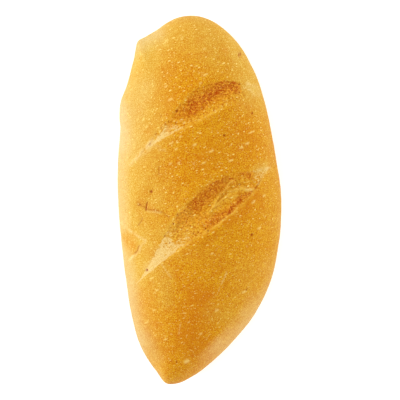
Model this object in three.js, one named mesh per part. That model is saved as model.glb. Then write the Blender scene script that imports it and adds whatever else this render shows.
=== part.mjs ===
import * as THREE from 'three';

// Rustic italian loaf: an uncut oblong loaf on a flat base, with two slashes across its crown.
// Lengths are millimetres. +Y runs to the blunt end, +Z up, and the base rests on z = 0.

// Overall size
const LENGTH = 300;
const WIDTH = 134.4;
const CROWN_HEIGHT = 79;

// Outline from above: a bearing in degrees, and the outline's share of an ellipse of this length and width
const OUTLINE = [
  [0, 0.994], [18, 0.95], [45, 0.965], [75, 0.979], [95, 1.007], [112, 1.043], [120, 1.064],
  [126.5, 1.104], [130.6, 1.142], [132.4, 1.141], [136, 1.108], [145, 1.086], [151, 1.1], [155, 1.079],
  [158, 1.041], [165, 1.022], [180, 0.992], [193, 0.98], [205, 0.992], [217, 1.038], [229, 1.071],
  [240, 1.067], [246, 1.077], [249, 1.068], [256, 1.022], [266, 0.952], [279, 0.893], [293, 0.867],
  [305, 0.875], [318, 0.913], [335, 0.976], [350, 0.995],
];

// Away from the widest height the outline's corners soften: each bearing takes the mean of its neighbours
// within this reach. The crown is fully soft inside the soft share of the outline.
const SOFT_REACH = THREE.MathUtils.degToRad(26);
const SOFT_STEPS = 8;
const SOFT_SHARE = 0.82;

// Side: the outline lies at the widest height, and the loaf rolls in below it to the base
const WIDEST_HEIGHT = 26;
const BASE_INSET = 14;

// Crown: how full it is across and along the loaf, and how round it meets the side
const FULLNESS_ACROSS = 2.05;
const FULLNESS_ALONG = 2.5;
const CROWN_ROUNDING = 1.95;

// Slow swells of the crust: wavelength, bearing of travel in degrees, height and phase in degrees
const SWELLS = [
  { wavelength: 170, bearing: 75, height: 1.4, phase: 40 },
  { wavelength: 95, bearing: 130, height: 0.8, phase: 210 },
  { wavelength: 62, bearing: 20, height: 0.5, phase: 95 },
];

// Slashes: a chord from the left tip to the right one, with an upper and a lower edge that bow off it.
// A bow has a rise in plan, and a skew that moves its highest place to the right.
// Inside, the crust sinks by depth, most at the deepest share of the way from the lower to the upper edge,
// and the bowl softness is how gently it leaves both edges.
// The ear and the lip are the raised crust just outside the upper and the lower edge.
// A strand is a ridge of torn dough: its share of the way across, its width there, and where it starts.
const SLASHES = [
  {
    from: [-53.1, 33.1], to: [47.2, 89.4],
    upper: { rise: 25, skew: 1.75 }, lower: { rise: 2.9, skew: 0.6 },
    depth: 2.4, deepest: 0.58, ear: 0.5, lip: 0.7,
    strand: { place: 0, width: 1, height: 0, start: 0 },
  },
  {
    from: [-52.3, -68.8], to: [52.9, 25],
    upper: { rise: 22, skew: 1.4 }, lower: { rise: -9.1, skew: 2.5 },
    depth: 3.2, deepest: 0.56, ear: 0.6, lip: 1.1,
    strand: { place: 0.42, width: 0.12, height: 1.6, start: 0.3 },
  },
];
const EDGE_REACH = 4;
const BOWL_SOFTNESS = 1.5;
const STRAND_FADE = 0.2;

// Dents of the left flank: plan position, radius and depth
const DENTS = [
  { x: -39, y: 6.5, radius: 6, depth: 1.3 },
  { x: -43.5, y: -5, radius: 7, depth: 1.2 },
  { x: -55, y: -36, radius: 9, depth: 1.8 },
];

// Mesh: the crown is a square grid turned to lie along the slashes, the side is rings around it
const COLUMNS = 38;
const ROWS = 92;
const ROW_CROWDING = 0.35;
const GRID_TURN = THREE.MathUtils.degToRad(17.5);
const GRID_SHARE = 0.93;
const SHOULDER_RINGS = 3;
const UNDER_RINGS = 4;

// Share of the ellipse at a bearing: a smooth closed curve through the outline's points
function outlineShare(bearing) {
  const degrees = THREE.MathUtils.euclideanModulo(THREE.MathUtils.radToDeg(bearing), 360);
  const count = OUTLINE.length;
  const pointAt = (index) => {
    const turns = Math.floor(index / count);
    const [angle, share] = OUTLINE[index - turns * count];
    return [angle + 360 * turns, share];
  };
  const found = OUTLINE.findIndex(([angle]) => angle > degrees);
  const next = found < 0 ? count : found;
  const [before, start, end, after] = [next - 2, next - 1, next, next + 1].map(pointAt);
  const span = end[0] - start[0];
  const startSlope = (span * (end[1] - before[1])) / (end[0] - before[0]);
  const endSlope = (span * (after[1] - start[1])) / (after[0] - start[0]);
  const t = (degrees - start[0]) / span;
  const bend = 2 * start[1] - 2 * end[1] + startSlope + endSlope;
  const curve = 3 * end[1] - 3 * start[1] - 2 * startSlope - endSlope;
  return start[1] + t * (startSlope + t * (curve + t * bend));
}

// Mean of the outline's share over the neighbouring bearings
function softShare(bearing) {
  let sum = 0;
  for (let step = 0; step <= SOFT_STEPS; step += 1) {
    sum += outlineShare(THREE.MathUtils.lerp(bearing - SOFT_REACH, bearing + SOFT_REACH, step / SOFT_STEPS));
  }
  return sum / (SOFT_STEPS + 1);
}

// Plan position at a share of the way from the middle to the outline, with the outline this sharp
function planPoint(share, bearing, sharpness) {
  const reach = share * THREE.MathUtils.lerp(softShare(bearing), outlineShare(bearing), sharpness);
  return [reach * (WIDTH / 2) * Math.cos(bearing), reach * (LENGTH / 2) * Math.sin(bearing)];
}

// Smooth bump of height one, at a distance counted in its own radii
function bump(distance) {
  return Math.exp(-distance * distance);
}

// Height of a bowed edge over its chord, from 0 to 1 along it
function bow(edge, along) {
  return edge.rise * (1 - (2 * along ** edge.skew - 1) ** 2);
}

// Height that a slash adds to the crust at a plan position
function slashRelief(slash, x, y) {
  const start = new THREE.Vector2(...slash.from);
  const chord = new THREE.Vector2(...slash.to).sub(start);
  const place = new THREE.Vector2(x, y).sub(start);
  const along = place.dot(chord) / chord.lengthSq();
  if (along <= 0 || along >= 1) {
    return 0;
  }
  const height = chord.cross(place) / chord.length();
  const top = bow(slash.upper, along);
  const bottom = bow(slash.lower, along);
  const gape = (top - bottom) / (slash.upper.rise - slash.lower.rise);
  const ear = slash.ear * bump((height - top) / EDGE_REACH - 1);
  const lip = slash.lip * bump((bottom - height) / EDGE_REACH - 1);
  const across = (height - bottom) / (top - bottom);
  if (across <= 0 || across >= 1) {
    return gape * (ear + lip);
  }
  const side = across > slash.deepest ? 1 - slash.deepest : slash.deepest;
  const bowl = slash.depth * (1 - ((across - slash.deepest) / side) ** 2) ** BOWL_SOFTNESS;
  const { strand } = slash;
  const torn = THREE.MathUtils.smoothstep(along, strand.start, strand.start + STRAND_FADE);
  const ridge = torn * strand.height * bump((across - strand.place) / strand.width);
  return gape * (ear + lip + ridge - bowl);
}

// All relief of the crust: swells, slashes and dents
function crustRelief(x, y) {
  const swells = SWELLS.map(({ wavelength, bearing, height, phase }) => {
    const travel = THREE.MathUtils.degToRad(bearing);
    const distance = x * Math.cos(travel) + y * Math.sin(travel);
    return height * Math.sin((2 * Math.PI * distance) / wavelength + THREE.MathUtils.degToRad(phase));
  });
  const slashes = SLASHES.map((slash) => slashRelief(slash, x, y));
  const dents = DENTS.map((dent) => -dent.depth * bump(Math.hypot(x - dent.x, y - dent.y) / dent.radius));
  return [...swells, ...slashes, ...dents].reduce((sum, part) => sum + part, 0);
}

// Point of the crown at a share of the way from the middle to the outline
function crownPoint(share, bearing) {
  const [x, y] = planPoint(share, bearing, THREE.MathUtils.smoothstep(share, SOFT_SHARE, 1));
  const fullness = THREE.MathUtils.lerp(FULLNESS_ACROSS, FULLNESS_ALONG, Math.sin(bearing) ** 2);
  const rise = Math.max(0, 1 - share ** fullness) ** (1 / CROWN_ROUNDING);
  return new THREE.Vector3(x, y, WIDEST_HEIGHT + rise * (CROWN_HEIGHT - WIDEST_HEIGHT + crustRelief(x, y)));
}

// Point of the rolled-in underside, from the widest height at 0 to the base at 1
function underPoint(step, bearing) {
  const angle = (step * Math.PI) / 2;
  const [x, y] = planPoint(1, bearing, Math.cos(angle) ** 2);
  const shrink = 1 - (BASE_INSET * (1 - Math.cos(angle))) / Math.hypot(x, y);
  return new THREE.Vector3(x * shrink, y * shrink, WIDEST_HEIGHT * (1 - Math.sin(angle)));
}

// Disc position of a square grid position, both from -1 to 1, as a share and a bearing
function discPosition(across, row) {
  const along = row * (1 - ROW_CROWDING + ROW_CROWDING * row * row);
  const x = across * Math.sqrt(1 - (along * along) / 2);
  const y = along * Math.sqrt(1 - (across * across) / 2);
  return [GRID_SHARE * Math.hypot(x, y), Math.atan2(y, x) + GRID_TURN];
}

// Grid indices of the crown's edge, counter-clockwise
function gridEdge(indexAt) {
  const edge = [];
  for (let column = 0; column < COLUMNS; column += 1) {
    edge.push(indexAt(column, 0));
  }
  for (let row = 0; row < ROWS; row += 1) {
    edge.push(indexAt(COLUMNS, row));
  }
  for (let column = COLUMNS; column > 0; column -= 1) {
    edge.push(indexAt(column, ROWS));
  }
  for (let row = ROWS; row > 0; row -= 1) {
    edge.push(indexAt(0, row));
  }
  return edge;
}

// The whole loaf as one closed skin: crown grid, side rings and base
function loafGeometry() {
  const points = [];
  const bearings = [];
  const faces = [];
  const indexAt = (column, row) => row * (COLUMNS + 1) + column;

  for (let row = 0; row <= ROWS; row += 1) {
    for (let column = 0; column <= COLUMNS; column += 1) {
      const [share, bearing] = discPosition((2 * column) / COLUMNS - 1, (2 * row) / ROWS - 1);
      points.push(crownPoint(share, bearing));
      bearings.push(bearing);
    }
  }

  // Each grid cell is split along the diagonal that points to the middle
  for (let row = 0; row < ROWS; row += 1) {
    for (let column = 0; column < COLUMNS; column += 1) {
      const near = indexAt(column, row);
      const right = indexAt(column + 1, row);
      const far = indexAt(column + 1, row + 1);
      const left = indexAt(column, row + 1);
      if ((column < COLUMNS / 2) === (row < ROWS / 2)) {
        faces.push(near, right, far, near, far, left);
      } else {
        faces.push(near, right, left, right, far, left);
      }
    }
  }

  // Rings go from the grid's edge over the shoulder and under to the base
  const edge = gridEdge(indexAt);
  const ringPoints = [];
  for (let ring = 1; ring <= SHOULDER_RINGS; ring += 1) {
    const share = THREE.MathUtils.lerp(GRID_SHARE, 1, Math.sin((ring / SHOULDER_RINGS) * (Math.PI / 2)));
    ringPoints.push((bearing) => crownPoint(share, bearing));
  }
  for (let ring = 1; ring <= UNDER_RINGS; ring += 1) {
    ringPoints.push((bearing) => underPoint(ring / UNDER_RINGS, bearing));
  }
  let upper = edge;
  for (const ringPoint of ringPoints) {
    const lower = edge.map((index) => points.push(ringPoint(bearings[index])) - 1);
    upper.forEach((here, place) => {
      const next = (place + 1) % upper.length;
      faces.push(here, lower[place], lower[next], here, lower[next], upper[next]);
    });
    upper = lower;
  }

  // The base is a fan around its middle
  const middle = points.push(new THREE.Vector3(0, 0, 0)) - 1;
  upper.forEach((here, place) => faces.push(here, middle, upper[(place + 1) % upper.length]));

  // The origin is the middle of the loaf's box, on the base
  const geometry = new THREE.BufferGeometry().setFromPoints(points);
  const centre = new THREE.Box3().setFromPoints(points).getCenter(new THREE.Vector3());
  geometry.translate(-centre.x, -centre.y, 0);
  geometry.setIndex(faces);
  geometry.computeVertexNormals();
  return geometry;
}

const crust = new THREE.MeshStandardMaterial({ color: 0xe0a038, roughness: 0.65, metalness: 0 });
crust.name = 'crust';
const loaf = new THREE.Mesh(loafGeometry(), crust);
loaf.name = 'loaf';

const part = new THREE.Group();
part.name = 'rustic_italian_loaf';
part.add(loaf);

export default part;
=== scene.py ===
import math

import bpy
import numpy as np
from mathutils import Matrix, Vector


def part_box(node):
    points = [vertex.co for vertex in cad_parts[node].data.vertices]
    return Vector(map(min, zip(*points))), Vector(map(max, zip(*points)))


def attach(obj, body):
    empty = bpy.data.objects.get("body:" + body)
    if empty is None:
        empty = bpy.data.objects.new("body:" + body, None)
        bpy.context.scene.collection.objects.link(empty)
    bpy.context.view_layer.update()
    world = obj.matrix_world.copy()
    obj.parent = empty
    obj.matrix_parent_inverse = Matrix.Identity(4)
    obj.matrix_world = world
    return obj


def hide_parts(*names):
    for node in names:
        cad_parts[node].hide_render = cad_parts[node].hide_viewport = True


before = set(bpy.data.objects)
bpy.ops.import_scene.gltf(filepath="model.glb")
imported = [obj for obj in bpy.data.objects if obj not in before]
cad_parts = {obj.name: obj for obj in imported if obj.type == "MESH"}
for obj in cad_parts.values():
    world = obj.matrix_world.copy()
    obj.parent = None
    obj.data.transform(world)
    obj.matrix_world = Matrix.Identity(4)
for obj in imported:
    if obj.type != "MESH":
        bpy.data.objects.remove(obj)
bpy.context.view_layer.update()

MM = 0.001
SEED = 7

# Size of the loaf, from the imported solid
LOW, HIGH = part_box("loaf")
WIDTH, LENGTH, HEIGHT = HIGH - LOW

# Outline from above: a bearing in degrees, and its share of an ellipse of the loaf's length and width
OUTLINE = [
    (0, 0.994), (18, 0.95), (45, 0.965), (75, 0.979), (95, 1.007), (112, 1.043), (120, 1.064),
    (126.5, 1.104), (130.6, 1.142), (132.4, 1.141), (136, 1.108), (145, 1.086), (151, 1.1), (155, 1.079),
    (158, 1.041), (165, 1.022), (180, 0.992), (193, 0.98), (205, 0.992), (217, 1.038), (229, 1.071),
    (240, 1.067), (246, 1.077), (249, 1.068), (256, 1.022), (266, 0.952), (279, 0.893), (293, 0.867),
    (305, 0.875), (318, 0.913), (335, 0.976), (350, 0.995),
]

# Away from the widest height the outline softens to its mean over a reach of bearings.
# On the crown it starts to sharpen at this share of the way from the middle.
SOFT_REACH = math.radians(26)
SOFT_STEPS = 8
SOFT_SHARE = 0.82

# Side and crown: their heights, the inset of the base, and how full and round the crown is
WIDEST_HEIGHT = 0.3214 * HEIGHT
CROWN_HEIGHT = 0.9765 * HEIGHT
BASE_INSET = 14 * MM
FULLNESS_ACROSS = 2.05
FULLNESS_ALONG = 2.5
CROWN_ROUNDING = 1.95

# Slow swells of the crust: wavelength, bearing of travel in degrees, height and phase in degrees
SWELLS = [
    (170 * MM, 75, 1.4 * MM, 40),
    (95 * MM, 130, 0.8 * MM, 210),
    (62 * MM, 20, 0.5 * MM, 95),
]

# Dents of the left flank: plan position, radius and depth, in millimetres
DENTS = [(-39, 6.5, 6, 1.3), (-43.5, -5, 7, 1.2), (-55, -36, 9, 1.8)]

# Slashes in millimetres: a chord from tip to tip, and its bowed edges as rise and skew.
# Depth, share across the slash where it is deepest, heights of the ear over the upper edge and of the
# lip under the lower edge, and the share along the slash where its torn dough ends.
# Lines along an edge, painted highlights on the upper edge and the lip and painted shade just inside the
# upper edge: from and to along the slash, and how strong they are.
SLASHES = [
    {
        "from": (-53.1, 33.1), "to": (47.2, 89.4), "upper": (25, 1.75), "lower": (2.9, 0.6),
        "depth": 2.4, "deepest": 0.58, "ear": 0.5, "lip": 0.7, "end": 0.89,
        "edge_highlight": (0.3, 0.62, 0.3), "edge_shade": (0.66, 0.84, 0.3), "lip_highlight": (0.22, 0.7, 0.6),
    },
    {
        "from": (-52.3, -68.8), "to": (52.9, 25), "upper": (22, 1.4), "lower": (-9.1, 2.5),
        "depth": 3.2, "deepest": 0.56, "ear": 0.6, "lip": 1.1, "end": 0.98,
        "edge_highlight": (0.3, 0.7, 0.4), "edge_shade": (0.6, 0.84, 0.2), "lip_highlight": (0.28, 0.94, 0.75),
    },
]

# Bearing of the streaks and blisters, which lie along the slashes
SLASH_LEAN = math.radians(22)

# Millimetres from an edge to the crest of its ear or lip, rounding of the bowl, and the least gape
EDGE_REACH = 4
BOWL_ROUNDING = 1.5
LEAST_GAPE = 1e-6

# Shares along a slash between which its edges grow ragged, and between which it grows deep
RAGGED_ALONG = (0.15, 0.5)
DEEP_ALONG = (0.1, 0.55)

# Torn dough of a slash: where it starts along it, its bounds across it, and the softness of both
TORN_START = 0.01
TORN_ALONG_SOFT = 0.03
TORN_ACROSS = (0.05, 0.95)
TORN_ACROSS_SOFT = 0.09

# Painted highlight and shade lines along an edge: millimetres from the edge to the line, its width, and how
# softly it ends
EDGE_HIGHLIGHT_PLACE = (0.8, 1.1)
LIP_HIGHLIGHT_PLACE = (0.4, 0.9)
EDGE_SHADE_PLACE = (-1, 1.1)
EDGE_LINE_SOFT = 0.06

# Stretched pale dough in each slash: from and to along it, from and to across it, and how strong it is
STRETCHED = [
    [(0.08, 0.24, 0, 1, 0.85), (0, 0.1, 0, 1, 0.6), (0.22, 0.36, 0, 0.55, 0.6)],
    [(0, 0.22, 0, 1, 1), (0.2, 0.29, 0, 1, 0.7), (0.26, 0.36, 0, 0.35, 0.5), (0.95, 1, 0, 1, 0.4)],
]
ALONG_SOFT = 0.1
ACROSS_SOFT = 0.12

# The strokes below are in millimetres: points of a line on the crust, its radius, and how strong it is

# Brown bake on the torn dough
BROWNED = [
    ([(-4.5, 77), (1, 80), (9, 85.4), (18.5, 91.2), (27.5, 92.2)], 6.4, 0.7),
    ([(-14, 71), (-7, 75)], 5, 0.3),
    ([(2, 80), (9, 85), (15, 88.5)], 4, 0.14),
    ([(-27, 60.5), (-19, 66), (-10, 72)], 5, 0.2),
    ([(-2, -4), (5, 3), (11.6, 8.6), (19.5, 14.8)], 5.8, 0.58),
    ([(-16, -16), (-8, -8.6), (-2, -3)], 4.5, 0.18),
    ([(35, 21.5), (41, 20)], 3.2, 0.5),
    ([(42, 19), (43.5, 16.5)], 1.8, 0.4),
    ([(24.5, 16.4), (26.6, 15.8)], 1.5, 0.9),
    ([(26, -7.5), (31, -2)], 3.5, 0.64),
    ([(34, 0.8), (38.5, 4), (43.5, 7.2)], 3.4, 0.62),
    ([(10, -19), (16, -15), (23.5, -10)], 4.2, 0.6),
    ([(-10.2, -16), (3.4, -13.3)], 5, 0.14),
]

# Smooth bubbles in the lower slash
BUBBLES = [
    ([(20.5, 15.5), (22, 16.5)], 2.2, 0.9),
    ([(15, -0.6), (18, 2.6), (21.5, 5.2)], 0.8, 0.9),
]

# Pale crust, and painted light: sheen on the knob and the upper left flank, and lightening over the shaded
# upper wall of the second slash
PALE_AND_LIT_STROKES = [
    # Knob: painted light
    ([(-52, 121), (-44, 130)], 11, 0.8),
    # Upper left flank: painted sheen
    ([(-40, 122), (-43, 108), (-47, 92)], 9, 0.48),
    ([(40, 94), (45, 88)], 4.5, 0.48),
    ([(47, 24), (53, 27)], 4.5, 0.55),
    ([(-24, -30), (-8, -23)], 7, 0.3),
    # Upper wall of the second slash: painted light over its shade
    ([(-27, -28), (-12, -9)], 4.5, 0.4),
    ([(40, -58), (36, -88)], 13, 0.22),
    ([(10, -92), (24, -96)], 8, 0.25),
    ([(-14, -46), (10, -44)], 7, 0.1),
    ([(-27, -60), (-27, -82)], 7, 0.35),
    ([(8, 130), (12, 108)], 10, 0.18),
]

# Cream along the left edge and on the knob at the blunt end: paler crust with painted highlight of the left
# light
CREAM_AND_HIGHLIGHT_STROKES = [
    # Left edge: painted highlight
    ([(-66.5, 72), (-68, 46)], 8.5, 0.8),
    # Knob: painted highlight along its edge
    ([(-50, 126), (-46, 130.5), (-36, 136.3)], 7.5, 0.5),
    ([(-47, 92), (-51, 76), (-55, 60), (-54, 40)], 9.5, 0.17),
    ([(-58, -70), (-44, -115)], 8, 0.2),
    ([(-46, -112), (-36, -128)], 6, 0.2),
]

# Golden crust within the small flap of the left flank
GOLDEN = [([(-60.4, -29), (-53.4, -39)], 6, 0.9)]

# Strands of dough across the slashes, and a broad painted highlight on the lip of the first slash; their
# strength is also their height
STRANDS_AND_LIP_HIGHLIGHT = [
    ([(27, 15.8), (24, 13.8), (21.2, 8.8), (16.5, 4.6), (13.1, -1.5), (11, -5), (8.5, -9)], 0.8, 1),
    ([(11.7, -5.8), (16.5, -1), (21.9, 3.8)], 0.8, 0.9),
    ([(24, 2), (27.5, 3.2), (30.5, 3.6)], 0.9, 0.7),
    ([(24.5, 7), (29.5, 8.6)], 1.1, 0.8),
    ([(33, 9.8), (38.5, 8.3), (44, 9.2)], 1.2, 1.2),
    ([(2.1, -13.6), (10.2, -8.5), (17, -2.3), (23.8, 3.1), (30.6, 7.6), (38, 9)], 2.2, 0.2),
    # Painted highlight on the lip of the first slash
    ([(-3, 65), (6, 69), (15, 74), (26, 79.5)], 2.2, 0.14),
]

# Thin dark cracks, and a painted shadow line over the ledge of the left flank
CRACKS_AND_SHADOW_LINE = [
    ([(-42.6, -1.9), (-43.4, -5), (-43.6, -8.3)], 0.45, 1),
    ([(-50.8, -1.6), (-47.5, -3.6), (-50.8, -4)], 0.5, 0.4),
    # Painted shadow over the ledge of the left flank
    ([(-49, -3.6), (-43.5, -6.6), (-41.5, -7.6), (-33, -8.6), (-29, -10.6), (-25, -14)], 0.55, 0.45),
    ([(-33.1, 27.4), (-33.1, 20.1)], 0.4, 0.5),
    ([(-47, 38.5), (-43, 43), (-39.5, 46.5), (-38, 50)], 0.4, 0.3),
    ([(-50, -20.4), (-47.4, -17.2), (-46.6, -14.4)], 0.45, 0.5),
    ([(-52.6, -43), (-50.8, -41.8), (-49.2, -37)], 0.5, 0.6),
    ([(30, 12.7), (33.5, 12.7)], 0.5, 0.5),
    ([(45.5, 9.5), (49.5, 16)], 0.6, 0.5),
]

# Toasted, more orange crust, and painted shade under the lip of the second slash, over the ledge of the
# left flank and in its small flap
TOAST_AND_SHADE_STROKES = [
    # Painted shade under the lip of the second slash
    ([(24, -19), (30.6, -13), (38.8, -5.1), (46.9, 4.5)], 5, 0.75),
    ([(-26, 104), (-24, 74)], 9, 0.35),
    ([(-12, 112), (-8, 92)], 9, 0.25),
    ([(36, 62), (44, 40)], 9, 0.2),
    ([(31, 78), (38, 77)], 4.5, 0.4),
    # Painted shade over the ledge of the left flank
    ([(-48.2, -1.5), (-36, -7.5)], 3, 0.5),
    ([(-12, 29.5), (4.8, 32.3), (37.4, 48.6)], 16, 0.3),
    ([(2, -82), (-1, -95), (-4, -122)], 13, 0.8),
    ([(-44, -78), (-38, -100), (-30, -124)], 9, 0.25),
    ([(-9, -70), (-6.5, -80), (-17, -102), (-17, -116)], 6.5, 0.35),
    ([(-6.2, -80.5), (-5.4, -78.5)], 2.2, 0.5),
    ([(14.5, -44), (17, -49)], 4, 0.4),
    ([(-2, -70), (6, -78)], 5, 0.3),
    ([(-22, -52), (-14, -62)], 6, 0.25),
    # Painted shade in the small flap of the left flank
    ([(-57.4, -32), (-53, -39)], 4.5, 0.4),
]

# Light raised lines: creases, the border of the flap and the ends of the slashes; under the ledge and along
# the flap of the left flank they are partly painted highlight
LIGHT_LINES = [
    # Under the ledge of the left flank: partly painted highlight
    ([(-42.2, -8.8), (-37, -9.4), (-31.6, -10.2)], 0.8, 0.4),
    # Border of the flap: partly painted highlight
    ([(-63.5, -18.5), (-60.9, -21.4), (-58.2, -23.8)], 1.1, 1.2),
    ([(-58.2, -23.8), (-52.7, -27.5), (-49.3, -29.9), (-44.6, -31.9)], 1, 0.85),
    ([(-44.6, -33.5), (-47.3, -37), (-49.3, -42.5), (-54.8, -46.5), (-56.8, -49.2)], 1.1, 1.2),
    ([(-42, -55), (-32, -42)], 3.5, 0.6),
    ([(-30.8, -52), (-27.2, -57.4), (-23.1, -62.8)], 0.6, 0.45),
    ([(15.4, -72.9), (22.7, -56.6)], 0.6, 0.5),
    ([(-15.6, -100.6), (-17.2, -108.8)], 0.6, 0.4),
    ([(-56.5, 28.5), (-47.5, 38.5), (-40, 46.5)], 1.3, 1.2),
    ([(-45, 40), (-38, 47.5), (-30, 53.5)], 2.6, 0.75),
    ([(-34, 53), (-27, 58.5)], 3, 0.5),
    ([(37.5, 8.6), (42, 8.6)], 0.9, 0.6),
    ([(40, 93), (44.5, 88)], 3.5, 0.4),
    ([(36, 91.2), (42, 89), (48.5, 85.4)], 1.1, 0.65),
    ([(39, 95), (46.2, 91.6)], 1, 0.55),
    ([(49, 25), (55, 27.5)], 3, 0.15),
    ([(46.5, 24.2), (52.4, 25.5), (57, 26.4)], 1, 0.6),
    ([(50.8, 19.6), (54, 24.6)], 1.1, 0.55),
    ([(-38, 44.5), (-31, 43.5)], 0.9, 0.35),
    ([(-33, 40.8), (-28, 41)], 0.9, 0.35),
]

# Small dark pits in millimetres: plan position and radius
PITS = [
    (-39.3, 7, 1.2), (19.9, 52.6, 1.1), (42.3, -28, 1.1), (32.5, 118.8, 1.2), (42.7, 70.7, 0.8),
    (-18.5, 72.4, 1), (-19.3, 62.8, 0.6), (-31.3, 68, 0.5), (-15.6, 77.1, 0.5), (-25.5, 64.2, 0.5),
    (-40.1, 45.6, 0.6), (-35.4, 53.8, 0.5),
    (-42.8, -56.7, 1), (-28.5, -29.1, 0.6), (-24.4, -34.6, 0.6), (-21.4, -19.1, 0.7), (-17.6, -12.5, 0.5),
    (-10.8, -18.2, 0.6), (-1.3, -26.1, 0.6), (4.8, -23.1, 0.7), (6.8, -24.9, 0.7), (-5.4, -27.1, 0.5),
    (-12.2, -8.5, 0.6), (-18, -11.4, 0.6), (-3, -28.4, 0.5), (32.4, 94.4, 0.6), (32.6, 87.6, 0.6),
    (-28, 62, 0.6), (-31, 58.4, 0.5), (-7, 64.2, 0.5), (-18.7, -131.5, 0.7), (38, -72.6, 0.6),
]

# Large blisters in millimetres: plan position, half of the length, and radius; they lie along the slashes
BLISTERS = [
    (-26.8, 129.8, 0.8, 0.7), (-14.5, 132.1, 0.8, 0.6), (-47.2, 119.3, 0.8, 0.6), (4.5, 101.9, 1.3, 0.6),
    (-27.4, 92.4, 0.8, 0.7), (3.8, 123, 0.6, 0.6), (-23.8, 81.7, 1.4, 0.7), (0.7, 95.1, 0.7, 0.6),
    (-4, 45, 0.8, 0.8), (9.5, 39.8, 1.4, 0.7), (-19.1, 41.5, 0.8, 0.6), (-23.2, 46.2, 1.3, 0.6),
    (-15.6, 51.4, 0.6, 0.6), (42, 55.3, 2.2, 0.5), (38.6, 46.2, 1, 0.7), (33.9, 42.7, 0.9, 0.6),
    (25.2, 32.2, 1.2, 0.7), (-43, 59.6, 0.6, 0.6), (3.4, 30.4, 1.1, 0.6), (-23.8, 29.6, 0.8, 0.6),
    (-17, 30.3, 0.7, 0.6), (52.4, 3.8, 0.6, 0.6), (43.5, -1.7, 0.7, 0.7), (48.3, -22.7, 1, 0.6),
    (13.9, -89.4, 1, 0.7), (0.9, -108.4, 0.7, 0.6), (-39.1, -63.5, 0.8, 0.7), (-34.4, -73, 0.9, 0.6),
    (-43.2, -99.5, 1.2, 0.5), (-27.6, -113, 0.6, 0.6), (-37, -89.3, 0.7, 0.5), (36, -74.5, 1.2, 0.7),
    (-10.6, -131, 0.9, 1.4),
]
BLISTER_STRENGTH = 0.75

# Areas of the crust: how strong each one is, and the fades that bound it.
# A fade names what it is measured by, where it is least, where it is full, and its least share.
# Pale areas, most of them painted light: sheen on the flanks, and lightening at the blunt end and the upper
# right
PALE_AND_SHEEN_AREAS = [
    # Left flank: paler crust together with painted sheen of the left light
    (0.95, [("left", 0.1, 0.9, 0), ("along", -90, -55, 0.39)]),
    # Blunt end: painted light
    (0.56, [("along", 92, 146, 0)]),
    # Upper right: painted light
    (0.65, [("right", 0.32, 0.75, 0), ("along", 58, 90, 0)]),
    # Right rim: painted sheen
    (0.24, [("facing_right", 0.55, 0.97, 0)]),
]
CREAM_AND_SHEEN_AREAS = [
    # Steep sides away from the right: paler crust together with painted sheen
    (0.12, [("facing_up", 0.8, 0.1, 0), ("facing_right", 0.5, 0, 0)]),
    # Left edge: painted sheen of the left light
    (0.55, [("facing_left", 0.7, 1, 0), ("along", 102, 78, 0)]),
]
TAN_AREAS = [
    (0.47, [("low_right", 0.62, 0.98, 0), ("along", -144, -116, 0.2), ("along", -60, -105, 0.55)]),
    (0.45, [("under_widest", 0, 12, 0)]),
]
BAKED_AREA = (1, [("over_base", 9, 0.5, 0)])
BLISTERED_AREA = (1, [("along", -70, 10, 0.5)])

# Millimetres over the widest height between which the marks of the crown and of its upper part start
CROWN_START = (-4, 6)
UPPER_START = (0, 14)

# Share of pale crust that golden crust hides, of a strand that never breaks, and of a line that shows
GOLDEN_OVER_PALE = 0.4
STRAND_LEAST = 0.5
BROKEN_MIDDLE = 0.65

# Waves that make edges, marks and relief uneven: a cell in millimetres, and a strength
EDGE_WAVES = [(11, 0.9), (4, 0.5)]
TORN_WAVES = [(2.5, 0.03)]
PATCH_WAVES = [(5, 0.04), (2.2, 0.04)]
STRAY_WAVES = [(7, 1.8), (3, 1.2)]
UNEVEN_WAVES = [(17, 0.06), (7, 0.05)]
BROKEN_WAVES = [(5, 0.7), (2, 0.5)]
UNDER_WAVES = [(18, 3)]
BASE_WAVES = [(9, 3)]

# Fine relief in millimetres: waves of the crust and of the torn dough, and heights of the marks
GRAIN_RELIEF = [(14, 0.25), (5, 0.09), (2.4, 0.04)]
TORN_RELIEF = [(3, 0.45), (1.7, 0.35)]
TORN_SINK = 0.3
STRETCHED_SMOOTHING = 0.8
MARK_RELIEF = {"light_line": 0.4, "blister": 0.3, "cracked_and_shadowed": -0.5}
RELIEF_START = (0.5, 5)

# Mesh: a square grid over the crown, turned along the slashes, and rings down the side
COLUMNS = 176
ROWS = 340
ROW_CROWDING = 0.25
GRID_TURN = math.radians(17.5)
GRID_SHARE = 0.93
SHOULDER_RINGS = 6
UNDER_RINGS = 20
BASE_RINGS = 3

# Flat layout of the skin: the crown and side on the left, the base on the right
UNROLL = 0.36
SKIN_RADIUS = 0.48
SKIN_SHAPE = (0.68, 1)
SKIN_MIDDLE = (0.34, 0.5)
BASE_SIZE = (0.29, 0.96)
BASE_MIDDLE = (0.84, 0.5)

# Colours of the crust as they show on a screen, from nothing to full
SCREEN_FULL = 255
DARK_GOLD = (175, 96, 0)
LIGHT_GOLD = (206, 157, 30)
# Orange of toasted crust, also used for painted shade
TOAST_AND_SHADE_COLOUR = (180, 96, 12)
# Colours of the pale flank: paler crust together with painted sheen
FLANK_DARK = (188, 139, 34)
FLANK_LIGHT = (199, 169, 84)
DARK_BROWN = (157, 62, 0)
LIGHT_BROWN = (206, 142, 36)
DARK_TORN = (166, 86, 0)
LIGHT_TORN = (216, 168, 50)
DEEP_BROWN = (150, 66, 12)
# Cream: paler crust together with painted sheen and highlight
DARK_CREAM = (191, 159, 100)
LIGHT_CREAM = (198, 180, 134)
DARK_TAN = (204, 166, 102)
LIGHT_TAN = (218, 191, 136)
DARK_DOUGH = (201, 165, 90)
LIGHT_DOUGH = (214, 188, 127)
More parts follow.
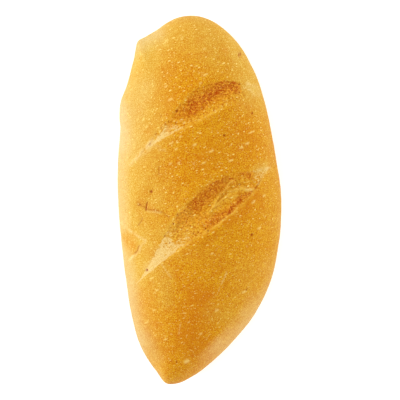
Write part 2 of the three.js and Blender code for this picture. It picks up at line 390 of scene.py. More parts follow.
# Gold of strands and of painted highlights on the slash edges
STRAND_AND_HIGHLIGHT_GOLD = (212, 166, 62)
SPECK = (228, 202, 116)
FINE_SPECK = (224, 192, 110)
BUBBLE = (174, 114, 24)
PORE = (150, 80, 14)
# Dark of cracks and pits, also of a painted shadow line
PIT_AND_SHADOW_BROWN = (136, 38, 4)

# Curve of a screen: the end of its straight part, that part's slope, the lift and the power of the rest
SCREEN_KNEE = 0.04045
SCREEN_SLOPE = 12.92
SCREEN_LIFT = 0.055
SCREEN_POWER = 2.4

# Colour sockets of a mix: its two inputs and its output
MIX_FIRST = 6
MIX_SECOND = 7
MIX_RESULT = 2

# Noises of the crust's colour: cell in millimetres and detail; streaks are stretched along the slashes
NOISES = {"middle": (9, 3), "fine": (2, 2), "crumb": (1.5, 1), "grain": (0.5, 0), "speck": (1, 0)}
STREAKS = {"streak": (4, 2), "swirl": (9, 2), "fibre": (1.4, 1)}
STREAK_STRETCH = (2.4, 1, 1)
CRUMB_CELL = 1.05
NOISE_MIDDLE = 0.5

# Shares that stray over the crust: a middle, and the strength of each noise
SPECKLE = (0.39, {"grain": 7, "crumb": 0.6, "streak": 1.4})
TOAST_PATCHES = (-0.08, {"middle": 0.8, "streak": 0.9, "swirl": 2.1})
BAKED_PATCHES = (0.5, {"middle": 1, "fine": 0.6})
SHREDS = (0.4, {"crumbs": 1.5, "fibre": 1.4})

# Grains: the strength of each noise, the softness of a grain's border, and the share where grains start
STRETCHED_GRAINS = {"crumbs": 0.5, "fibre": 2}
BROWNED_GRAINS = {"crumbs": 1.3, "fibre": 1.6}
DOT_GRAINS = {"speck": 2.6}
GRAIN_BORDER = (0.3, 0.7)
GRAIN_START = (0.02, 0.12)

# Spots: cell in millimetres, share of cells that have one, and smallest and largest radius in cells
TORN_SPOTS = (2.6, 0.38, 0.18, 0.38)
TINY_BLISTERS = (1.4, 0.5, 0.2, 0.42)
SMALL_BLISTERS = (2, 0.4, 0.16, 0.36)
LONG_BLISTERS = (4, 0.32, 0.1, 0.22)
PORES = (2.9, 0.35, 0.12, 0.26)
SPOT_CORE = 0.4

# How much of each colour shows
TOAST_MOST = 0.75
TOAST_LESS_ON_PALE = 0.65
TOAST_AND_SHADE_SHARE = 0.5
STRETCHED_SHARE = 0.8
STRETCHED_HIDES = 1.3
TORN_SHARE = 0.5
BROWNED_COVER = 1.35
DOT_COVER = 0.4
DOT_GRAIN_SHARE = 0.8
DOT_SHARE = 0.8
STRAND_AND_HIGHLIGHT_SHARE = 0.85
BUBBLE_SHARE = 0.8
TINY_SHARE = 0.6
SMALL_SHARE = 0.78
LONG_SHARE = 0.8
LARGE_SHARE = 0.8
PORE_SHARE = 0.5
CRACK_AND_SHADOW_SHARE = 0.92

# Surface of the crust
ROUGHNESS = 0.55
SPECULAR = 0.03
FINE_BUMP = 0.6
GRAIN_BUMP = 0.4
BLISTER_BUMP = 0.5
BUMP_STRENGTH = 0.25
BUMP_DISTANCE = 0.5 * MM

# Floor
FLOOR_HALF = 6
FLOOR_WHITE = (0.9, 0.9, 0.9, 1)
FLOOR_ROUGHNESS = 0.9
FLOOR_GLOW = 0.25

# Lights in metres: place and watts; all have one size and point at the loaf
LIGHTS = {
    "key": ((-1.8, 0.3, 0.75), 29),
    "fill": ((1.65, 0.6, 0.8), 15),
    "blunt_end": ((0, 1.8, 0.5), 4),
    "tapered_end": ((0.3, -1.8, 0.5), 4),
}
LIGHT_SIZE = (1.6, 0.9)
LIGHT_AIM = Vector((0, 0, 0.04))
WHITE = (1, 1, 1, 1)
SURROUNDINGS = 0.98

# Camera: straight above, so far that the loaf's height hardly widens it; the picture is in pixels
CAMERA_HEIGHT = 10
CAMERA_REACH = 100
SENSOR_WIDTH = 36
PICTURE_SIDE = 400
PICTURE_LOAF_LENGTH = 368.3
PICTURE_LOAF_MIDDLE = (199.13, 199.3)

# Random values at the corners of a block of cells, which repeats
NOISE_CELLS = 48
NOISE = np.random.default_rng(SEED).uniform(-1, 1, (NOISE_CELLS,) * 3)


def smoothstep(low, high, value):
    """Smooth rise from 0 at low to 1 at high."""
    t = np.clip((value - low) / (high - low), 0, 1)
    return t * t * (3 - 2 * t)


def window(value, low, high, soft):
    """One from low to high, falling to nothing over a soft band outside them."""
    return smoothstep(low - soft, low, value) * smoothstep(high + soft, high, value)


def bump(distance):
    """Smooth bump of height one, at a distance counted in its own radii."""
    return np.exp(-distance * distance)


def plateau(distance):
    """Flat-topped bump of height one, at a distance counted in its own radii."""
    return np.exp(-distance ** 4)


def value_noise(points, cell):
    """Smooth random values from -1 to 1 at points, that change over one cell."""
    place = points / cell
    corner = np.floor(place).astype(int)
    part = place - corner
    part = part * part * (3 - 2 * part)
    total = np.zeros(len(points))
    for shift in np.ndindex(2, 2, 2):
        weight = np.prod(np.where(shift, part, 1 - part), axis=1)
        i, j, k = (corner + shift).T % NOISE_CELLS
        total += weight * NOISE[i, j, k]
    return total


def waves(points, layers):
    """Sum of random waves at points, from their cells in millimetres and their strengths."""
    return sum(strength * value_noise(points, cell * MM) for cell, strength in layers)


def outline_share(bearing):
    """Share of the ellipse at each bearing: a smooth closed curve through the outline's points."""
    angles, shares = np.array(OUTLINE).T
    angles = np.concatenate([angles[-2:] - 360, angles, angles[:3] + 360])
    shares = np.concatenate([shares[-2:], shares, shares[:3]])
    degrees = np.degrees(bearing) % 360
    start = np.searchsorted(angles, degrees, side="right") - 1
    slopes = np.zeros_like(shares)
    slopes[1:-1] = (shares[2:] - shares[:-2]) / (angles[2:] - angles[:-2])
    span = angles[start + 1] - angles[start]
    t = (degrees - angles[start]) / span
    first, last = shares[start], shares[start + 1]
    first_slope, last_slope = span * slopes[start], span * slopes[start + 1]
    bend = 2 * first - 2 * last + first_slope + last_slope
    curve = 3 * last - 3 * first - 2 * first_slope - last_slope
    return first + t * (first_slope + t * (curve + t * bend))


def soft_share(bearing):
    """Mean of the outline's share over the neighbouring bearings."""
    shifts = np.linspace(-SOFT_REACH, SOFT_REACH, SOFT_STEPS + 1)
    return np.mean([outline_share(bearing + shift) for shift in shifts], axis=0)


def plan_point(share, bearing, sharpness):
    """Plan position at a share of the way from the middle to the outline, with the outline this sharp."""
    soft = soft_share(bearing)
    reach = share * (soft + sharpness * (outline_share(bearing) - soft))
    return reach * WIDTH / 2 * np.cos(bearing), reach * LENGTH / 2 * np.sin(bearing)


def bow(edge, along):
    """Height of a bowed slash edge over its chord, from 0 to 1 along it."""
    rise, skew = edge
    return rise * (1 - (2 * along ** skew - 1) ** 2)


def slash_edges(slash, along):
    """Heights of a slash's upper and lower edge over its chord, in millimetres."""
    within = np.clip(along, 0, 1)
    return bow(slash["upper"], within), bow(slash["lower"], within)


def slash_place(slash, x, y):
    """Shares along and across a slash, and millimetres outside its upper and its lower edge."""
    start = np.array(slash["from"])
    chord = np.array(slash["to"]) - start
    length = np.hypot(*chord)
    dx, dy = x / MM - start[0], y / MM - start[1]
    along = (dx * chord[0] + dy * chord[1]) / length ** 2
    plan = np.stack([x, y, np.zeros_like(x)], axis=-1)
    stray = waves(plan, EDGE_WAVES) * smoothstep(*RAGGED_ALONG, along)
    height = (chord[0] * dy - chord[1] * dx) / length + stray
    top, bottom = slash_edges(slash, along)
    across = (height - bottom) / np.maximum(top - bottom, LEAST_GAPE)
    return along, across, height - top, bottom - height


def slash_relief(slash, x, y):
    """Height that a slash adds to the crust, in metres."""
    along, across, above, below = slash_place(slash, x, y)
    ear = slash["ear"] * bump(above / EDGE_REACH - 1)
    lip = slash["lip"] * bump(below / EDGE_REACH - 1)
    deepest = slash["deepest"]
    side = np.where(across > deepest, 1 - deepest, deepest)
    bowl = np.clip(1 - ((across - deepest) / side) ** 2, 0, None) ** BOWL_ROUNDING
    depth = slash["depth"] * bowl * smoothstep(*DEEP_ALONG, along)
    top, bottom = slash_edges(slash, along)
    gape = (top - bottom) / (slash["upper"][0] - slash["lower"][0])
    return gape * (ear + lip - depth) * MM


def line_distance(points, x, y):
    """Distance from plan positions to a line through points, all in millimetres."""
    best = np.full(x.shape, np.inf)
    for (ax, ay), (bx, by) in zip(points[:-1], points[1:]):
        ux, uy = bx - ax, by - ay
        t = np.clip(((x - ax) * ux + (y - ay) * uy) / (ux * ux + uy * uy), 0, 1)
        best = np.minimum(best, np.hypot(x - ax - t * ux, y - ay - t * uy))
    return best


def strokes(lines, x, y, profile=bump):
    """Sum of strokes at plan positions in metres, each with its own radius and strength."""
    total = np.zeros_like(x)
    for points, radius, strength in lines:
        total += strength * profile(line_distance(points, x / MM, y / MM) / radius)
    return total


def blister_strokes():
    """A short stroke for each large blister."""
    lean = np.array([math.cos(SLASH_LEAN), math.sin(SLASH_LEAN)])
    lines = []
    for x, y, half, radius in BLISTERS:
        middle = np.array([x, y])
        lines.append(([middle - half * lean, middle + half * lean], radius, BLISTER_STRENGTH))
    return lines


def crust_relief(x, y):
    """Relief of the crust in metres: swells, dents, slashes and strands."""
    relief = np.zeros_like(x)
    for wavelength, bearing, height, phase in SWELLS:
        travel = math.radians(bearing)
        distance = x * math.cos(travel) + y * math.sin(travel)
        relief += height * np.sin(2 * np.pi * distance / wavelength + math.radians(phase))
    for dent_x, dent_y, radius, depth in DENTS:
        relief -= depth * MM * bump(np.hypot(x / MM - dent_x, y / MM - dent_y) / radius)
    for slash in SLASHES:
        relief += slash_relief(slash, x, y)
    return relief + strokes(STRANDS_AND_LIP_HIGHLIGHT, x, y) * MM


def crown_points(share, bearing):
    """Points of the crown at shares of the way from the middle to the outline."""
    x, y = plan_point(share, bearing, smoothstep(SOFT_SHARE, 1, share))
    fullness = FULLNESS_ACROSS + (FULLNESS_ALONG - FULLNESS_ACROSS) * np.sin(bearing) ** 2
    rise = np.clip(1 - share ** fullness, 0, None) ** (1 / CROWN_ROUNDING)
    z = WIDEST_HEIGHT + rise * (CROWN_HEIGHT - WIDEST_HEIGHT + crust_relief(x, y))
    return np.stack([x, y, z], axis=-1)


def under_points(step, bearing):
    """Points of the rolled-in underside, from the widest height at 0 to the base at 1."""
    angle = step * math.pi / 2
    x, y = plan_point(1, bearing, math.cos(angle) ** 2)
    shrink = 1 - BASE_INSET * (1 - math.cos(angle)) / np.hypot(x, y)
    z = np.full_like(x, WIDEST_HEIGHT * (1 - math.sin(angle)))
    return np.stack([x * shrink, y * shrink, z], axis=-1)


def grid_places():
    """Shares and bearings of the crown's grid, row by row."""
    across, row = np.meshgrid(np.linspace(-1, 1, COLUMNS + 1), np.linspace(-1, 1, ROWS + 1))
    along = row * (1 - ROW_CROWDING + ROW_CROWDING * row * row)
    x = across * np.sqrt(1 - along ** 2 / 2)
    y = along * np.sqrt(1 - across ** 2 / 2)
    return GRID_SHARE * np.hypot(x, y), np.arctan2(y, x) + GRID_TURN


def side_rings(bearing):
    """Rings of points from the grid's edge down: the shoulder, the rolled-in underside and the base."""
    rings = []
    for ring in range(1, SHOULDER_RINGS + 1):
        lean = math.sin(ring / SHOULDER_RINGS * math.pi / 2)
        share = np.full(bearing.size, GRID_SHARE + (1 - GRID_SHARE) * lean)
        rings.append(crown_points(share, bearing))
    for ring in range(1, UNDER_RINGS + 1):
        rings.append(under_points(ring / UNDER_RINGS, bearing))
    base_rim = rings[-1]
    for ring in range(1, BASE_RINGS + 1):
        rings.append(base_rim * (1 - ring / (BASE_RINGS + 1)))
    return rings


def loaf_skin():
    """Points and faces of the loaf's skin, its unrolled shares and bearings, and its first base face."""
    share, bearing = grid_places()
    index = np.arange(share.size).reshape(share.shape)
    quads = np.stack([index[:-1, :-1], index[:-1, 1:], index[1:, 1:], index[1:, :-1]], axis=-1)
    edge = np.concatenate([index[0, :-1], index[:-1, -1], index[-1, :0:-1], index[:0:-1, 0]])
    edge_bearing = bearing.ravel()[edge]

    points = [crown_points(share.ravel(), bearing.ravel())]
    unrolled = [share.ravel()]
    bearings = [bearing.ravel()]
    faces = [quads.reshape(-1, 4)]
    upper = edge
    count = share.size
    side_count = SHOULDER_RINGS + UNDER_RINGS
    for number, ring_points in enumerate(side_rings(edge_bearing), start=1):
        lower = count + np.arange(edge.size)
        faces.append(np.stack([upper, lower, np.roll(lower, -1), np.roll(upper, -1)], axis=-1))
        points.append(ring_points)
        unrolled.append(np.full(edge.size, GRID_SHARE + UNROLL * number / side_count))
        bearings.append(edge_bearing)
        upper = lower
        count += edge.size
    points.append(np.zeros((1, 3)))
    unrolled.append(np.zeros(1))
    bearings.append(np.zeros(1))
    fan = np.stack([upper, np.full(edge.size, count), np.roll(upper, -1)], axis=-1)
    all_faces = np.concatenate(faces).tolist() + fan.tolist()
    first_base = len(faces[0]) + side_count * edge.size
    return np.concatenate(points), all_faces, np.concatenate(unrolled), np.concatenate(bearings), first_base


def slash_patches(patches, along, across, points):
    """Strength of a slash's patches at shares along and across it, with ragged borders."""
    ragged = waves(points, PATCH_WAVES)
    total = np.zeros_like(along)
    for start, end, low, high, strength in patches:
        patch = window(along + ragged, start, end, ALONG_SOFT)
        patch = patch * window(across + ragged, low, high, ACROSS_SOFT)
        total = np.maximum(total, strength * patch)
    return total


def edge_line(line, along, distance, place):
    """A line along a slash's edge, at distances outside the edge in millimetres."""
    start, end, strength = line
    middle, width = place
    return strength * window(along, start, end, EDGE_LINE_SOFT) * bump((distance - middle) / width)


def slash_masks(points):
    """Torn and stretched dough of the slashes, and the painted highlight and shade lines along their edges.
    """
    x, y = points[:, 0], points[:, 1]
    ragged = waves(points, TORN_WAVES)
    torn, stretched, light, dark = np.zeros((4, len(points)))
    for slash, patches in zip(SLASHES, STRETCHED):
        along, across, above, below = slash_place(slash, x, y)
        inside = window(along, TORN_START, slash["end"], TORN_ALONG_SOFT)
        inside = inside * window(across + ragged, *TORN_ACROSS, TORN_ACROSS_SOFT)
        torn = np.maximum(torn, inside)
        stretched = np.maximum(stretched, slash_patches(patches, along, across, points) * inside)
        # Painted highlights on the upper edge and the lip, and painted shade just inside the upper edge
        light += edge_line(slash["edge_highlight"], along, above, EDGE_HIGHLIGHT_PLACE)
        light += edge_line(slash["lip_highlight"], along, below, LIP_HIGHLIGHT_PLACE)
        dark += edge_line(slash["edge_shade"], along, above, EDGE_SHADE_PLACE)
    return torn, stretched, light, dark


def cracks_pits_and_shadow_line(x, y):
    """Thin cracks, a painted shadow line and small pits at plan positions in metres."""
    total = strokes(CRACKS_AND_SHADOW_LINE, x, y)
    for pit_x, pit_y, radius in PITS:
        total += plateau(np.hypot(x / MM - pit_x, y / MM - pit_y) / radius)
    return total


def crust_measures(points, normals):
    """What the areas of the crust are measured by: directions, and places in millimetres."""
    facing_right, facing_along, facing_up = normals.T
    height = points[:, 2] / MM
    uneven = waves(points, UNEVEN_WAVES)
    return {
        "along": points[:, 1] / MM,
        "facing_left": -facing_right,
        "facing_right": facing_right,
        "facing_up": facing_up,
        "left": uneven - facing_right,
        "right": uneven + facing_right,
        "low_right": uneven + (facing_right - facing_along) / math.sqrt(2),
        "under_widest": WIDEST_HEIGHT / MM - height - waves(points, UNDER_WAVES),
        "over_base": height + waves(points, BASE_WAVES),
    }


def area(measures, strength, fades):
    """Strength of an area of the crust within its fades."""
    total = strength
    for name, start, full, least in fades:
        total = total * (least + (1 - least) * smoothstep(start, full, measures[name]))
    return total


def covered(*shares):
    """Share that is covered by several layers together."""
    bare = np.ones_like(shares[0])
    for share in shares:
        bare = bare * (1 - np.clip(share, 0, 1))
    return 1 - bare


def crust_masks(points, normals):
    """What the crust is like at each point, as shares from 0 to 1."""
    x, y, z = points.T
    stray_x = x + waves(points, STRAY_WAVES) * MM
    stray_y = y + waves(points[:, ::-1], STRAY_WAVES) * MM
    over_widest = (z - WIDEST_HEIGHT) / MM
    crown = smoothstep(*CROWN_START, over_widest)
    upper = smoothstep(*UPPER_START, over_widest)
    broken = np.clip(BROKEN_MIDDLE + waves(points, BROKEN_WAVES), 0, 1)
    torn, stretched, light, dark = slash_masks(points)
    # Painted shade inside the upper slash edges joins the brown; painted highlights on the edges join the
    # strands
    browned_and_shaded = strokes(BROWNED, stray_x, stray_y, plateau) + dark * broken
    strand_and_highlight = strokes(STRANDS_AND_LIP_HIGHLIGHT, x, y) * (STRAND_LEAST + (1 - STRAND_LEAST) * broken) + light * broken
    golden = np.clip(strokes(GOLDEN, stray_x, stray_y), 0, 1) * upper

    measures = crust_measures(points, normals)
    # Pale and cream crust, much of it painted sheen and highlight on the left flank, the knob and the rims
    pale = [area(measures, *parts) for parts in PALE_AND_SHEEN_AREAS] + [strokes(PALE_AND_LIT_STROKES, stray_x, stray_y)]
    cream = [area(measures, *parts) for parts in CREAM_AND_SHEEN_AREAS] + [strokes(CREAM_AND_HIGHLIGHT_STROKES, x, y) * crown]
    tan = [area(measures, *parts) for parts in TAN_AREAS]
    return {
        "torn": torn * crown,
        "browned_and_shaded": np.clip(browned_and_shaded, 0, 1) * torn * crown,
        "toast_and_shade": np.clip(strokes(TOAST_AND_SHADE_STROKES, stray_x, stray_y), 0, 1) * upper,
        "stretched": stretched * crown,
        "bubble": np.clip(strokes(BUBBLES, x, y), 0, 1) * crown,
        "pale": covered(*pale) * (1 - GOLDEN_OVER_PALE * golden),
        "cream": covered(*cream) * (1 - golden),
        "tan": covered(*tan),
        "baked": area(measures, *BAKED_AREA),
        "light_line": np.clip(strokes(LIGHT_LINES, x, y) * broken, 0, 1) * crown,
        "blister": np.clip(strokes(blister_strokes(), x, y), 0, 1) * crown,
        "strand_and_highlight": np.clip(strand_and_highlight, 0, 1) * crown,
        "cracked_and_shadowed": np.clip(cracks_pits_and_shadow_line(x, y), 0, 1) * crown,
        "blistered": area(measures, *BLISTERED_AREA),
    }


def fine_relief(points, masks):
    """Fine relief of the crust along its normals, in metres; the base stays flat."""
    relief = waves(points, GRAIN_RELIEF)
    smooth = 1 - STRETCHED_SMOOTHING * masks["stretched"]
    relief += (waves(points, TORN_RELIEF) - TORN_SINK) * masks["torn"] * smooth
    for name, height in MARK_RELIEF.items():
        relief += height * masks[name]
    return relief * MM * smoothstep(*RELIEF_START, points[:, 2] / MM)


def unrolled_map(mesh, unrolled, bearings, first_base):
    """Lays the skin out flat: the crown and side on the left, the base on the right."""
    turned = np.stack([np.cos(bearings), np.sin(bearings)], axis=-1)
    main = turned * (unrolled * SKIN_RADIUS / unrolled.max())[:, None]
    main = main * SKIN_SHAPE + SKIN_MIDDLE
    coordinates = np.empty(len(mesh.vertices) * 3)
    mesh.vertices.foreach_get("co", coordinates)
    base = coordinates.reshape(-1, 3)[:, :2] / (WIDTH, LENGTH) * BASE_SIZE + BASE_MIDDLE
    corners = np.empty(len(mesh.loops), dtype=int)
    mesh.loops.foreach_get("vertex_index", corners)
    first_corner = mesh.polygons[first_base].loop_start
    places = np.concatenate([main[corners[:first_corner]], base[corners[first_corner:]]])
    mesh.uv_layers.new(name="OFBake").data.foreach_set("uv", places.ravel())


def make_loaf(material):
    """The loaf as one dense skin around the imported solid."""
    points, faces, unrolled, bearings, first_base = loaf_skin()
    middle = (points.min(axis=0) + points.max(axis=0)) / 2
    shift = np.array([(LOW.x + HIGH.x) / 2 - middle[0], (LOW.y + HIGH.y) / 2 - middle[1], LOW.z])
    mesh = bpy.data.meshes.new("loaf_crust")
    mesh.from_pydata((points + shift).tolist(), [], faces)
    normals = np.empty(points.size)
    mesh.vertex_normals.foreach_get("vector", normals)
    normals = normals.reshape(-1, 3)
    masks = crust_masks(points, normals)
    points = points + fine_relief(points, masks)[:, None] * normals
    mesh.vertices.foreach_set("co", (points + shift).ravel())
    for name, values in masks.items():
        mesh.attributes.new(name, "FLOAT", "POINT").data.foreach_set("value", values)
    unrolled_map(mesh, unrolled, bearings, first_base)
    mesh.shade_smooth()
    mesh.materials.append(material)
    mesh.update()
    loaf = bpy.data.objects.new("loaf_crust", mesh)
    bpy.context.scene.collection.objects.link(loaf)
    return loaf


def screen(red, green, blue):
    """A colour as it shows on a screen, as the linear values that shaders take."""
    shown = np.array([red, green, blue]) / SCREEN_FULL
    curved = ((shown + SCREEN_LIFT) / (1 + SCREEN_LIFT)) ** SCREEN_POWER
    values = np.where(shown <= SCREEN_KNEE, shown / SCREEN_SLOPE, curved)
    return (*values.tolist(), 1)


class Nodes:
    """Short calls that build a material's nodes."""

    def __init__(self, name):
        self.material = bpy.data.materials.new(name)
        self.material.use_nodes = True
        self.tree = self.material.node_tree
        self.tree.nodes.clear()
        self.noises = {}

    def node(self, kind, inputs=(), **settings):
        """A node with settings, its inputs linked to sockets or set to values."""
        node = self.tree.nodes.new(kind)
        for key, value in settings.items():
            setattr(node, key, value)
        for key, value in dict(inputs).items():
            if isinstance(value, bpy.types.NodeSocket):
                self.tree.links.new(value, node.inputs[key])
            else:
                node.inputs[key].default_value = value
        return node

    def surface(self, finish):
        """The shader with its finish, joined to the material's output."""
        shader = self.node("ShaderNodeBsdfPrincipled", finish)
        self.node("ShaderNodeOutputMaterial", {"Surface": shader.outputs[0]})

    def attribute(self, name):
        """A mask of the mesh."""
        return self.node("ShaderNodeAttribute", attribute_name=name).outputs["Fac"]

    def math(self, operation, a, b, clamp=False):
        """One step of arithmetic."""
        return self.node("ShaderNodeMath", {0: a, 1: b}, operation=operation, use_clamp=clamp).outputs[0]

    def times(self, a, b):
        """Product of two values."""
        return self.math("MULTIPLY", a, b)

    def rise(self, value, low, high):
        """Smooth rise from 0 at low to 1 at high."""
        settings = {"Value": value, "From Min": low, "From Max": high}
        return self.node("ShaderNodeMapRange", settings, interpolation_type="SMOOTHSTEP").outputs["Result"]

    def mix(self, factor, first, second):
        """Mix of two colours, each a socket or a colour as it shows on a screen."""
        pair = [c if isinstance(c, bpy.types.NodeSocket) else screen(*c) for c in (first, second)]
        settings = {"Factor": factor, MIX_FIRST: pair[0], MIX_SECOND: pair[1]}
        return self.node("ShaderNodeMix", settings, data_type="RGBA").outputs[MIX_RESULT]

    def add_noises(self, vector, noises):
        """Keeps named noises, each with its cell in millimetres and its detail."""
        for name, (cell, detail) in noises.items():
            settings = {"Vector": vector, "Scale": 1 / (cell * MM), "Detail": detail}
            self.noises[name] = self.node("ShaderNodeTexNoise", settings).outputs["Fac"]

    def cells(self, vector, cell):
        """Random cells of a size in millimetres, and the parts of their random colours."""
        cells = self.node("ShaderNodeTexVoronoi", {"Vector": vector, "Scale": 1 / (cell * MM)})
        random = self.node("ShaderNodeSeparateColor", {"Color": cells.outputs["Color"]})
        return cells.outputs["Distance"], random.outputs

    def spread(self, middle, strengths):
        """A middle value, strayed by named noises that each have their own strength, from 0 to 1."""
        total = middle
        for name, strength in strengths.items():
            stray = self.times(self.math("SUBTRACT", self.noises[name], NOISE_MIDDLE), strength)
            total = self.math("ADD", total, stray)
        return self.math("ADD", total, 0, clamp=True)

    def grains(self, share, strengths):
        """Grains that cover about a share of the surface, with borders that dissolve."""
        grains = self.rise(self.spread(share, strengths), *GRAIN_BORDER)
        return self.times(grains, self.rise(share, *GRAIN_START))

    def spots(self, vector, cell, chosen, smallest, largest):
        """Round spots in a chosen share of cells, with radii between two shares of the cell."""
        distance, random = self.cells(vector, cell)
        radius = self.math("ADD", self.times(random["Green"], largest - smallest), smallest)
        spot = self.rise(distance, radius, self.times(radius, SPOT_CORE))
        return self.times(spot, self.math("LESS_THAN", random["Red"], chosen))


def gold_crust(n, speckle, brown):
    """Mottled gold, yellower on the pale flank where sheen is painted, with cream areas that are partly
    painted sheen and highlight, tan and orange toast areas with painted shade, and a baked base.
    """
    pale = n.attribute("pale")
    dark = n.mix(pale, DARK_GOLD, FLANK_DARK)
    light = n.mix(pale, LIGHT_GOLD, FLANK_LIGHT)
    colour = n.mix(speckle, dark, light)
    most = n.math("SUBTRACT", TOAST_MOST, n.times(pale, TOAST_LESS_ON_PALE))
    colour = n.mix(n.times(n.spread(*TOAST_PATCHES), most), colour, TOAST_AND_SHADE_COLOUR)
    colour = n.mix(n.attribute("cream"), colour, n.mix(speckle, DARK_CREAM, LIGHT_CREAM))
    colour = n.mix(n.attribute("tan"), colour, n.mix(speckle, DARK_TAN, LIGHT_TAN))
    # Orange toast strokes, some of them painted shade
    colour = n.mix(n.times(n.attribute("toast_and_shade"), TOAST_AND_SHADE_SHARE), colour, TOAST_AND_SHADE_COLOUR)
    return n.mix(n.times(n.attribute("baked"), n.spread(*BAKED_PATCHES)), colour, brown)


def torn_dough(n, place, colour, speckle, shred, brown):
    """Torn dough over the crust: pale where it is stretched, with brown grains where it is baked, and
    painted highlight and shade lines along the slash edges.
    """
    dough = n.mix(speckle, DARK_DOUGH, LIGHT_DOUGH)
    stretched = n.attribute("stretched")
    browned_and_shaded = n.attribute("browned_and_shaded")
    colour = n.mix(n.times(n.grains(stretched, STRETCHED_GRAINS), STRETCHED_SHARE), colour, dough)
    unstretched = n.math("SUBTRACT", 1, n.times(stretched, STRETCHED_HIDES), clamp=True)
    bare = n.times(n.attribute("torn"), unstretched)
    colour = n.mix(n.times(bare, TORN_SHARE), colour, n.mix(shred, DARK_TORN, LIGHT_TORN))
    # Brown grains, with the painted shade inside the upper slash edges
    colour = n.mix(n.grains(n.times(browned_and_shaded, BROWNED_COVER), BROWNED_GRAINS), colour, brown)
    dots = n.times(n.grains(n.times(browned_and_shaded, DOT_COVER), DOT_GRAINS), DOT_GRAIN_SHARE)
    dots = n.math("MAXIMUM", dots, n.times(bare, n.spots(place, *TORN_SPOTS)))
    colour = n.mix(n.times(dots, DOT_SHARE), colour, DEEP_BROWN)
    # Strand gold, also the painted highlights along the slash edges and on the lip
    colour = n.mix(n.times(n.attribute("strand_and_highlight"), STRAND_AND_HIGHLIGHT_SHARE), colour, STRAND_AND_HIGHLIGHT_GOLD)
    colour = n.mix(n.times(n.attribute("bubble"), BUBBLE_SHARE), colour, BUBBLE)
    return n.mix(n.attribute("light_line"), colour, dough)


def blisters(n, streaked, unbrowned):
    """Share of blisters: small and long ones that lie along the slashes, and the large ones."""
    small = n.times(n.spots(streaked, *SMALL_BLISTERS), SMALL_SHARE)
    long = n.times(n.spots(streaked, *LONG_BLISTERS), LONG_SHARE)
    spread = n.times(n.math("MAXIMUM", small, long), n.attribute("blistered"))
    large = n.times(n.attribute("blister"), LARGE_SHARE)
    return n.math("MAXIMUM", n.times(spread, unbrowned), large)


def crust_material():
    """Dry baked crust: mottled gold, brown and granular in the slashes, with pale blisters, painted sheen
    and highlights, and painted shade.
    """
    n = Nodes("crust")
    place = n.node("ShaderNodeTexCoord").outputs["Object"]
    turn = {"Vector": place, "Rotation": (0, 0, SLASH_LEAN), "Scale": STREAK_STRETCH}
    streaked = n.node("ShaderNodeMapping", turn, vector_type="TEXTURE").outputs[0]
    n.add_noises(place, NOISES)
    n.add_noises(streaked, STREAKS)
    n.noises["crumbs"] = n.cells(place, CRUMB_CELL)[1]["Blue"]

    speckle = n.spread(*SPECKLE)
    shred = n.spread(*SHREDS)
    brown = n.mix(shred, DARK_BROWN, LIGHT_BROWN)
    colour = gold_crust(n, speckle, brown)
    colour = torn_dough(n, place, colour, speckle, shred, brown)

    unbrowned = n.math("SUBTRACT", 1, n.attribute("browned_and_shaded"), clamp=True)
    tiny = n.times(n.spots(place, *TINY_BLISTERS), TINY_SHARE)
    blister = blisters(n, streaked, unbrowned)
    colour = n.mix(n.times(n.spots(place, *PORES), PORE_SHARE), colour, PORE)
    colour = n.mix(n.times(tiny, unbrowned), colour, FINE_SPECK)
    colour = n.mix(blister, colour, SPECK)
    # Cracks and pits, and the painted shadow line over the ledge
    colour = n.mix(n.times(n.attribute("cracked_and_shadowed"), CRACK_AND_SHADOW_SHARE), colour, PIT_AND_SHADOW_BROWN)

    height = n.math("ADD", n.times(n.noises["fine"], FINE_BUMP), n.times(n.noises["grain"], GRAIN_BUMP))
    height = n.math("ADD", height, n.times(blister, BLISTER_BUMP))
    relief = {"Height": height, "Strength": BUMP_STRENGTH, "Distance": BUMP_DISTANCE}
    bumps = n.node("ShaderNodeBump", relief).outputs[0]
    n.surface({
        "Base Color": colour, "Roughness": ROUGHNESS,
        "Specular IOR Level": SPECULAR, "Normal": bumps,
    })
    return n.material


def floor_material():
    """Plain white paper sweep."""
    n = Nodes("floor_white")
    n.surface({
        "Base Color": FLOOR_WHITE, "Roughness": FLOOR_ROUGHNESS,
        "Emission Color": WHITE, "Emission Strength": FLOOR_GLOW,
    })
    return n.material


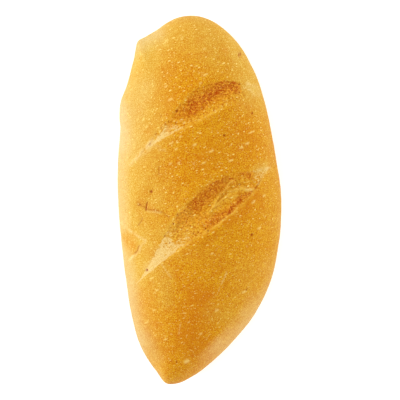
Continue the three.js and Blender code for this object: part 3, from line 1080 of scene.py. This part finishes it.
def make_floor():
    """The pale floor that the loaf rests on."""
    corners = [(-1, -1), (1, -1), (1, 1), (-1, 1)]
    mesh = bpy.data.meshes.new("floor")
    mesh.from_pydata([(FLOOR_HALF * x, FLOOR_HALF * y, 0) for x, y in corners], [], [(0, 1, 2, 3)])
    mesh.materials.append(floor_material())
    floor = bpy.data.objects.new("floor", mesh)
    bpy.context.scene.collection.objects.link(floor)
    return floor


def soft_light(name, place, watts):
    """A soft light at a place, turned to the loaf."""
    data = bpy.data.lights.new(name, "AREA")
    data.shape = "RECTANGLE"
    data.size, data.size_y = LIGHT_SIZE
    data.energy = watts
    light = bpy.data.objects.new(name, data)
    light.location = place
    light.rotation_euler = (LIGHT_AIM - Vector(place)).to_track_quat("-Z", "Y").to_euler()
    light.visible_camera = False
    bpy.context.scene.collection.objects.link(light)


def make_light():
    """White surroundings, a large soft light on the left and weaker ones on the other sides."""
    world = bpy.data.worlds.new("studio")
    world.use_nodes = True
    background = world.node_tree.nodes["Background"]
    background.inputs["Color"].default_value = WHITE
    background.inputs["Strength"].default_value = SURROUNDINGS
    bpy.context.scene.world = world
    for name, (place, watts) in LIGHTS.items():
        soft_light(name, place, watts)
    bpy.context.scene.view_settings.view_transform = "Standard"


def make_camera():
    """Looks straight down, with the blunt end of the loaf up in the picture."""
    pixel = LENGTH / PICTURE_LOAF_LENGTH
    data = bpy.data.cameras.new("camera")
    data.sensor_width = SENSOR_WIDTH
    data.lens = SENSOR_WIDTH * (CAMERA_HEIGHT - WIDEST_HEIGHT) / (PICTURE_SIDE * pixel)
    data.clip_end = CAMERA_REACH
    camera = bpy.data.objects.new("camera", data)
    picture_middle = (PICTURE_SIDE - 1) / 2
    camera.location = (
        (picture_middle - PICTURE_LOAF_MIDDLE[0]) * pixel,
        (PICTURE_LOAF_MIDDLE[1] - picture_middle) * pixel,
        CAMERA_HEIGHT,
    )
    bpy.context.scene.collection.objects.link(camera)
    bpy.context.scene.camera = camera


loaf = make_loaf(crust_material())
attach(loaf, "root")
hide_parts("loaf")
make_floor()
make_light()
make_camera()
